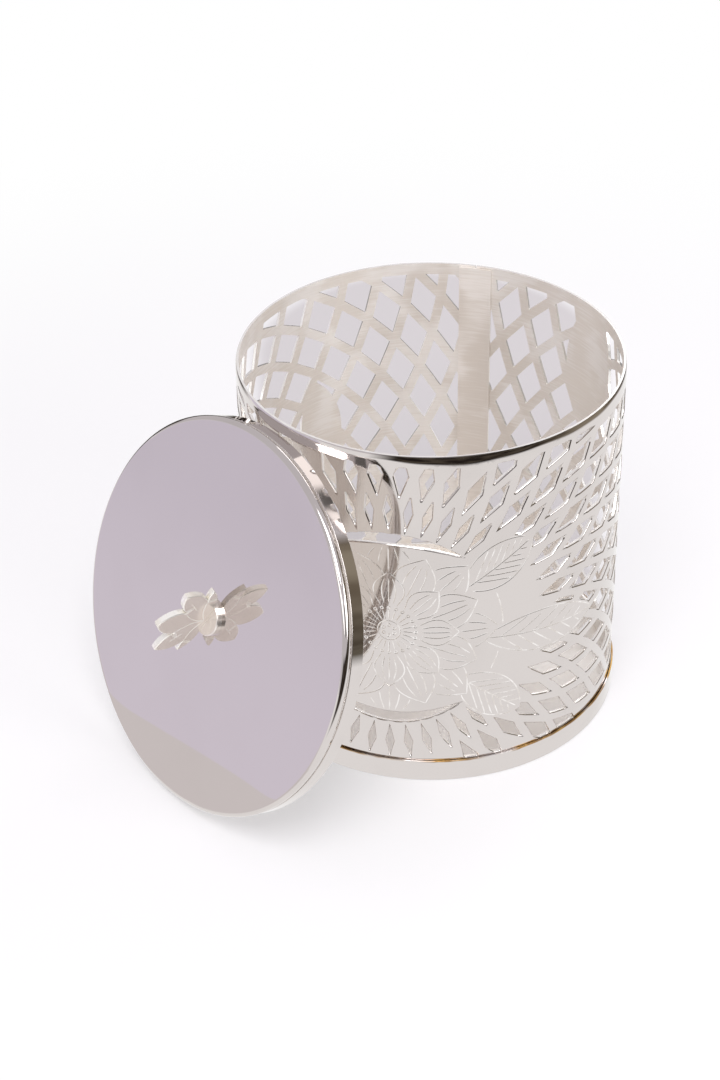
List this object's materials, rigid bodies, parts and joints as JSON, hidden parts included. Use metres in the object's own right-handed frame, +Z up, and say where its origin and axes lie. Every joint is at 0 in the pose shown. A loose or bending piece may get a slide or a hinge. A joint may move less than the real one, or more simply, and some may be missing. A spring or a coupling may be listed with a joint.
{
  "type": "pierced metal box with lid",
  "caption": "Round silver-plated brass box with a pierced diamond lattice wall, plain foot band and a loose flat lid with a lotus finial leaning on it.",
  "frame": {"origin": "centre of the base's underside, on the floor the box stands on", "axes": "+Z up along the box's axis, -X toward the side where the lid leans"},
  "size_m": [0.1618, 0.1178, 0.115],
  "materials": {
    "polished_plate": "brass sheet, silver-plated and mirror polished",
    "satin_plate": "brass sheet, silver-plated, left satin with brush marks",
    "finial_plate": "sawn brass, silver-plated, hand polished",
    "fastener_brass": "plain turned brass"
  },
  "bodies": {
    "box": {"wall_panel": "polished_plate", "seam_strap": "satin_plate", "base_plate": "satin_plate", "base_band": "polished_plate"},
    "lid": {"lid_disc": "polished_plate", "lid_bead": "polished_plate", "lid_skirt": "polished_plate", "finial_collar": "finial_plate", "finial_lotus": "finial_plate", "finial_washer": "fastener_brass", "finial_nut": "fastener_brass"}
  },
  "joints": [
    {"name": "lid_swing", "type": "hinge", "parent": "box", "child": "lid", "pos_m": [0.12092, 0, 0.11477], "axis": [0, 1, 0], "range_deg": [0, 70.9]}
  ]
}
